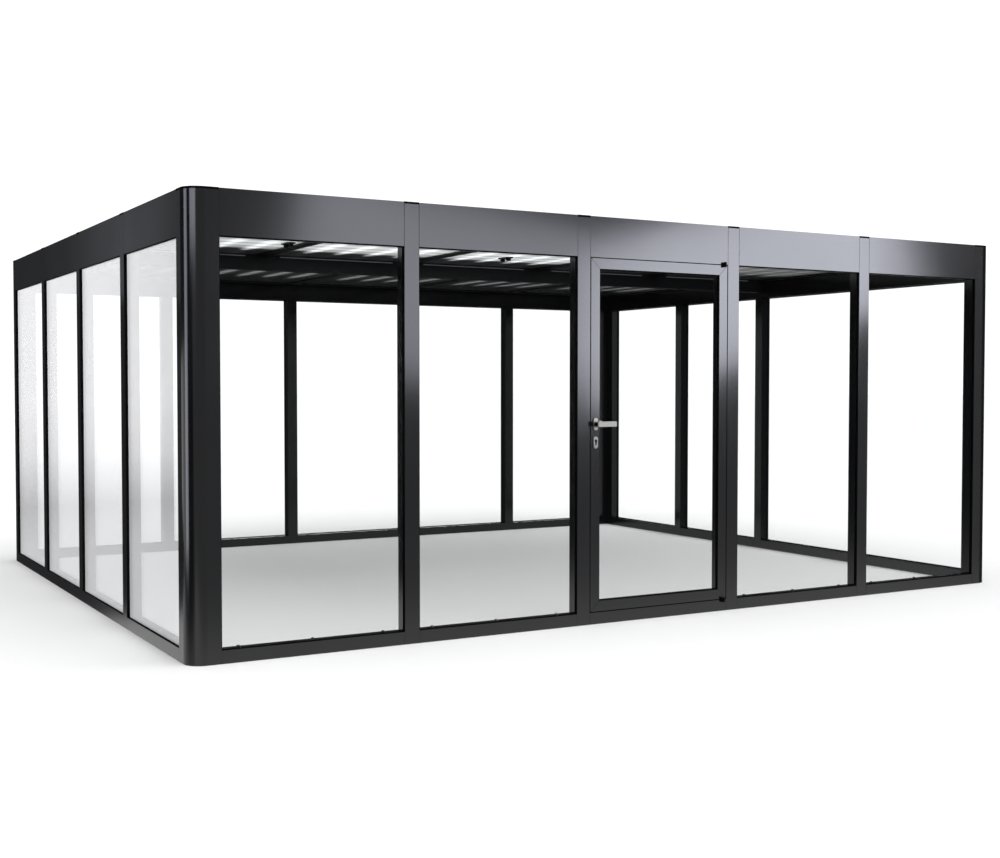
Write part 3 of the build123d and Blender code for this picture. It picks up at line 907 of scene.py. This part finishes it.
class GREENHOUSE_OT_handles(bpy.types.Operator):
    """Finishes the lever and its plates and fits black sleeves around its neck as a painted dark
    reflection on the neck
    """

    bl_idname = "greenhouse.handles"
    bl_label = "Finish the door handles"

    def execute(self, context):
        look = context.scene.greenhouse_door
        steel = satin_stainless("satin_stainless", tuple(look.steel), look.steel_roughness)
        wear(steel, *HANDLE_PARTS)
        plastic = bpy.data.materials["moulded_black_plastic"]
        # painted reflection: black sleeves over the whole neck stand in for the dark reflection on
        # the silver neck
        inner, seat, bevel = 9.6 * MM, 0.1 * MM, 1 * MM
        outer, height = inner + look.sleeve_width, look.sleeve_height
        sleeve = [(inner, seat), (outer, seat), (outer, height - bevel), (outer - bevel, height)]
        sleeve += [(inner, height), (inner, seat)]
        bm = bmesh.new()
        for y, outward in ((plate_front, -1), (plate_back, 1)):
            turned(bm, sleeve, Vector((lever_x, y, lever_z)), Vector((0, outward, 0)))
        bmesh_piece("neck_sleeves_dark_reflection", bm, plastic, "door", smooth_below=40)
        return {"FINISHED"}


class GREENHOUSE_OT_lock(bpy.types.Operator):
    """Fits the key cylinders, the lock's faceplate and the strike plate"""

    bl_idname = "greenhouse.lock"
    bl_label = "Fit the lock"

    def execute(self, context):
        plastic = bpy.data.materials["moulded_black_plastic"]
        steel = bpy.data.materials["satin_stainless"]
        zinc = bpy.data.materials["zinc_plated_steel"]
        key_z = middle("key_escutcheons", Z) + 10 * MM
        proud = 0.4 * MM
        barrel = [(0, -6 * MM), (8 * MM, -6 * MM), (8 * MM, -0.3 * MM), (9.4 * MM, -0.3 * MM)]
        barrel += [(9.4 * MM, 0), (6.6 * MM, 0), (6.6 * MM, -1 * MM), (0, -1 * MM)]
        bm = bmesh.new()
        for y, outward in ((plate_front, -1), (plate_back, 1)):
            face = Vector((lever_x, y + outward * proud, key_z))
            turned(bm, barrel, face, Vector((0, outward, 0)), 32)
            across = Vector((-outward, 0, 0))
            slot = face - 13.5 * MM * UP
            prism(bm, round_outline(11 * MM, 25 * MM, 5 * MM), slot, across, UP, -0.3 * MM)
        bmesh_piece("lock_cylinders", bm, plastic, "door", smooth_below=40)

        # a long plate on the leaf's edge, with the latch and the bolt in it
        edge_y = (lock_low[Y] + lock_high[Y]) / 2
        centre_z = lever_z - 60 * MM
        thickness = 1 * MM
        across = Vector((0, -1, 0))
        bm = bmesh.new()
        plate = Vector((lock_low[X] - GAP, edge_y, centre_z))
        prism(bm, round_outline(22 * MM, 235 * MM, 10 * MM), plate, across, UP, thickness)
        for rise, height in ((0, 14 * MM), (-112 * MM, 26 * MM)):
            bolt = Vector((lock_low[X] - thickness, edge_y, lever_z + rise))
            prism(bm, round_outline(11 * MM, height, 2 * MM), bolt, across, UP, 1.2 * MM)
        bmesh_piece("lock_faceplate", bm, steel, "door")

        # the strike plate on the mullion, a frame around two pockets
        bm = bmesh.new()
        corner = Vector((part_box("front_mullion_2")[HIGH][X] + GAP, edge_y, centre_z))
        for centre, width, height in (
            ((8.5 * MM, 0), 5 * MM, 190 * MM),
            ((-8.5 * MM, 0), 5 * MM, 190 * MM),
            ((0, 85 * MM), 12 * MM, 20 * MM),
            ((0, -88 * MM), 12 * MM, 14 * MM),
            ((0, 10 * MM), 12 * MM, 80 * MM),
        ):
            prism(bm, box_outline(width, height, centre), corner, -across, UP, 0.6 * MM)
        bmesh_piece("strike_plate", bm, zinc, "frame")
        return {"FINISHED"}


# Stage: metres and degrees; the camera is from a fit to the frame's edges
CAMERA_PLACE = (-5.0630, -9.2543, 1.4707)
CAMERA_YAW = 29.9005
CAMERA_PITCH = -1.893
CAMERA_ROLL = 0.0133
CAMERA_LENS = 47.9386
SENSOR_WIDTH = 36.0

FLOOR_REACH = 150.0
BACKDROP_WHITE = 1.15
ROOM_TINT = (0.95, 0.96, 1.0)
ROOM_STRENGTH = 0.05
OVERHEAD_SPREAD = 110
OVERHEAD_AIM = Vector((-0.25, 0.2, -1.0))

# The groups of objects that lamps are made for
GROUPS = {
    "front": FRONT,
    "left": LEFT,
    "left_wall": [*LEFT, "left_mullions"],
    "glasses": PANES,
    "rear": REAR,
    "lips": ["lip_highlight_trims"],
    "painted": [*PAINTED, *STRIPS],
    "right": RIGHT,
    "handles": HANDLE_PARTS,
    "sheets": ROOF_SHEETS,
}

SKY_TINT = (0.93, 0.95, 1.07)
STRIP_TINT = (0.92, 0.97, 1.06)
LAVENDER = (0.93, 0.92, 1.10)

# What the front wall mirrors: ends are degrees from straight ahead of the wall towards +X, rise
# and height are its middle and its size in degrees above level, roll lifts its right end, and
# the share is of the softbox's strength
SOFTBOXES = [
    ("softbox", (20.9, 33.5), 4.1, 7.9, -9.0, 1.0),
    ("softbox_core", (32.8, 46.9), 4.5, 6.5, 17.0, 2.15),
]
SOFTBOX_DISTANCE = 6.8

# Panel lamps: name, place, the point it faces, width and height, radiance, group and options
PANELS = [
    ("front_fill", (0, -18, 0), (0, 0, 0), (60, 24), 0.36, "front", {}),
    ("indoor_fill", (0, -18, 0), (0, 0, 0), (60, 24), 0.34, "rear", {}),
    ("side_fill", (-9, 17, 2), (0, 0, 1.5), (26, 18), 0.36, "right", {}),
    ("corner_box", (-9.6, -6.9, 5), (-3, -2.4, 2.4), (5.4, 4), 4.4, "left", {"tint": LAVENDER}),
    ("left_card", (-10, 7, 0.65), (0, 7, 0.65), (17, 2.5), 0.95, "left", {}),
    ("left_sky", (-10, -0.5, 2.9), (-3, -2.4, 2.9), (2.8, 6.4), 3.4, "left", {"tint": LAVENDER}),
    (
        "rear_strip", (-7.6, 16, 4.4), (-7.6, 0, 4.4), (1.4, 2.6), 0.24, "left_wall",
        {"tint": STRIP_TINT},
    ),
    # the left wall mirrors a white backdrop that darkens towards the ground
    (
        "backdrop", (-5, 16, 1), (-5, 0, 1), (26, 16), 1.0, "glasses",
        {
            "fade": [
                (0.0, 0.76), (0.345, 0.76), (0.39, 0.63), (0.45, 1.0), (0.51, 1.15), (1.0, 1.15)
            ]
        },
    ),
    ("handle_card", (3, -8, 3.5), (-0.5, -2.5, 1.2), (6, 5), 1.8, "handles", {}),
    ("handle_fill", (-6, -7, 2.5), (-0.5, -2.5, 1.2), (4, 5), 1.0, "handles", {}),
    (
        "roof_light", (-0.9, -1.05, 3.3), (-0.9, -1.05, 2.4), (4.2, 1), 22.0, "sheets",
        {"shown": ("visible_diffuse", "visible_transmission")},
    ),
    # the light that the floor throws up on the beam's lips
    (
        "bounce", (0, -6, 0.3), (0, 0, 2.4), (8, 1), 0.85, "lips",
        {"shown": ("visible_diffuse",)},
    ),
    # softboxes for the sides that the camera doesn't see
    ("rear_softbox", (7, 14, 5), (1, 2.5, 1.5), (9, 6), 3.0, "rear", {}),
    ("right_softbox", (15, -2, 5), (3, 0, 1.5), (10, 6), 3.0, "right", {}),
    # what a light floor gives back to eyes above it
    ("floor_glow", (0, 0, -8), (0, 0, 0), (90, 90), 0.8, "painted", {}),
    ("floor_glow", (0, 0, -8), (0, 0, 0), (56, 56), 0.8, "glasses", {}),
    ("sky_softbox", (0, 0, 12), (0, 0, 0), (16, 16), 1.0, "painted", {}),
]


def place_camera():
    data = bpy.data.cameras.new("camera")
    data.sensor_fit = "HORIZONTAL"
    data.sensor_width = SENSOR_WIDTH
    data.lens = CAMERA_LENS
    data.clip_end = 500.0
    camera = bpy.data.objects.new("camera", data)
    bpy.context.scene.collection.objects.link(camera)
    matrix = Matrix.Translation(CAMERA_PLACE)
    for degrees, axis in ((-CAMERA_YAW, "Z"), (90 + CAMERA_PITCH, "X"), (CAMERA_ROLL, "Z")):
        matrix = matrix @ Matrix.Rotation(math.radians(degrees), 4, axis)
    camera.matrix_world = matrix
    bpy.context.scene.camera = camera


def receivers():
    """A collection for each group of objects that lamps are made for."""
    collections = {}
    for name, members in GROUPS.items():
        collections[name] = bpy.data.collections.new(name)
        for member in members:
            piece = nodes[member] if member in nodes else bpy.data.objects[member]
            collections[name].objects.link(piece)
    return collections


def soft_panel(
    name, centre, aim, size, radiance, group, tint=(1.0, 1.0, 1.0), roll=0.0, fade=None, shown=()
):
    """A soft panel lamp for one group of objects, seen only in their gloss.

    Fade is a list of (height, share) stops that dim the panel from its foot to its top, and
    shown names the other kinds of ray that see it.
    """
    data = bpy.data.lights.new(name, "AREA")
    data.shape = "RECTANGLE"
    data.size, data.size_y = size
    data.energy = radiance * math.pi * size[0] * size[1]
    data.color = tint
    lamp = bpy.data.objects.new(name, data)
    aimed = (Vector(aim) - Vector(centre)).to_track_quat("-Z", "Y").to_matrix().to_4x4()
    lamp.matrix_world = Matrix.Translation(centre) @ aimed @ Matrix.Rotation(roll, 4, "Z")
    for ray in ("visible_camera", "visible_diffuse", "visible_transmission"):
        setattr(lamp, ray, ray in shown)
    bpy.context.scene.collection.objects.link(lamp)
    lamp.light_linking.receiver_collection = group
    if fade:
        data.use_nodes = True
        tree = data.node_tree
        tree.nodes.clear()
        place = add(tree, "ShaderNodeNewGeometry").outputs["Parametric"]
        split = add(tree, "ShaderNodeSeparateXYZ", place)
        share = add(tree, "ShaderNodeValToRGB", split.outputs["Y"])
        set_stops(share.color_ramp, fade)
        shine = add(tree, "ShaderNodeEmission", inputs={"Color": tint, "Strength": share})
        add(tree, "ShaderNodeOutputLight", shine)


def mirrored_panel(name, ends, rise, height, roll, radiance, group):
    """A panel parallel to the front wall, placed by where the camera sees it mirrored there."""
    run = (front_face - CAMERA_PLACE[Y]) + SOFTBOX_DISTANCE
    left, right = (CAMERA_PLACE[X] + run * math.tan(math.radians(angle)) for angle in ends)
    reach = run / math.cos(math.radians(sum(ends) / 2))
    middle_z = CAMERA_PLACE[Z] + reach * math.tan(math.radians(rise))
    centre = Vector(((left + right) / 2, front_face - SOFTBOX_DISTANCE, middle_z))
    size = (right - left, reach * math.radians(height))
    aim = centre + Vector((0, 1, 0))
    soft_panel(name, centre, aim, size, radiance, group, SKY_TINT, math.radians(roll))


class GREENHOUSE_OT_stage(bpy.types.Operator):
    """Sets up the pale floor, the soft studio light and the camera"""

    bl_idname = "greenhouse.stage"
    bl_label = "Set up the stage"

    def execute(self, context):
        look = context.scene.greenhouse_stage
        scene = context.scene
        scene.view_settings.view_transform = "Standard"
        place_camera()

        mesh = bpy.data.meshes.new("studio_floor")
        outline = box_outline(2 * FLOOR_REACH, 2 * FLOOR_REACH)
        mesh.from_pydata([(x, y, 0) for x, y in outline], [], [range(4)])
        floor = bpy.data.objects.new("studio_floor", mesh)
        scene.collection.objects.link(floor)
        material, tree = new_material("matt_studio_floor")
        matt = {"Color": tuple(look.floor), "Roughness": 0.5}
        skin = add(tree, "ShaderNodeBsdfDiffuse", inputs=matt)
        add(tree, "ShaderNodeOutputMaterial", skin)
        mesh.materials.append(material)
        floor.visible_glossy = False
        floor.visible_diffuse = False

        # white behind the greenhouse, a dim grey studio in its reflections
        world = bpy.data.worlds.new("studio")
        scene.world = world
        world.use_nodes = True
        tree = world.node_tree
        tree.nodes.clear()
        direct = add(tree, "ShaderNodeLightPath").outputs["Is Camera Ray"]
        room = add(tree, "ShaderNodeBackground", ROOM_TINT, ROOM_STRENGTH)
        plain = add(tree, "ShaderNodeBackground", (1.0, 1.0, 1.0), BACKDROP_WHITE)
        seen = add(tree, "ShaderNodeMixShader", direct, room, plain)
        add(tree, "ShaderNodeOutputWorld", seen)

        # the soft overhead light shapes the floor's shadow and the roof's glow
        sun = bpy.data.lights.new("overhead", "SUN")
        sun.energy = look.overhead
        sun.angle = math.radians(OVERHEAD_SPREAD)
        lamp = bpy.data.objects.new("overhead", sun)
        lamp.rotation_euler = OVERHEAD_AIM.to_track_quat("-Z", "Y").to_euler()
        lamp.visible_glossy = False
        scene.collection.objects.link(lamp)

        groups = receivers()
        for *view, share in SOFTBOXES:
            mirrored_panel(*view, share * look.softbox, groups["front"])
        for *panel, group, options in PANELS:
            soft_panel(*panel, groups[group], **options)
        return {"FINISHED"}


PIECES = [
    GREENHOUSE_OT_frame_paint,
    GREENHOUSE_OT_glass,
    GREENHOUSE_OT_roof,
    GREENHOUSE_OT_caps,
    GREENHOUSE_OT_roof_ties,
    GREENHOUSE_OT_ceiling_clips,
    GREENHOUSE_OT_anchors,
    GREENHOUSE_OT_door_seals,
    GREENHOUSE_OT_handles,
    GREENHOUSE_OT_lock,
    GREENHOUSE_OT_stage,
]


class GREENHOUSE_PT_panel(bpy.types.Panel):
    """Lists the greenhouse's pieces and their settings"""

    bl_label = "Greenhouse"
    bl_idname = "GREENHOUSE_PT_panel"
    bl_space_type = "VIEW_3D"
    bl_region_type = "UI"
    bl_category = "Greenhouse"

    def draw(self, context):
        layout = self.layout
        for name, kind in SETTINGS.items():
            box = layout.box()
            for key in kind.__annotations__:
                box.prop(getattr(context.scene, name), key)
        for piece in PIECES:
            layout.operator(piece.bl_idname)


CLASSES = [*SETTINGS.values(), *PIECES, GREENHOUSE_PT_panel]


def register():
    for kind in CLASSES:
        bpy.utils.register_class(kind)
    for name, kind in SETTINGS.items():
        setattr(bpy.types.Scene, name, PointerProperty(type=kind))


def unregister():
    for name in SETTINGS:
        delattr(bpy.types.Scene, name)
    for kind in reversed(CLASSES):
        bpy.utils.unregister_class(kind)


def main():
    register()
    for piece in PIECES:
        category, name = piece.bl_idname.split(".")
        getattr(getattr(bpy.ops, category), name)()


if __name__ == "__main__":
    main()
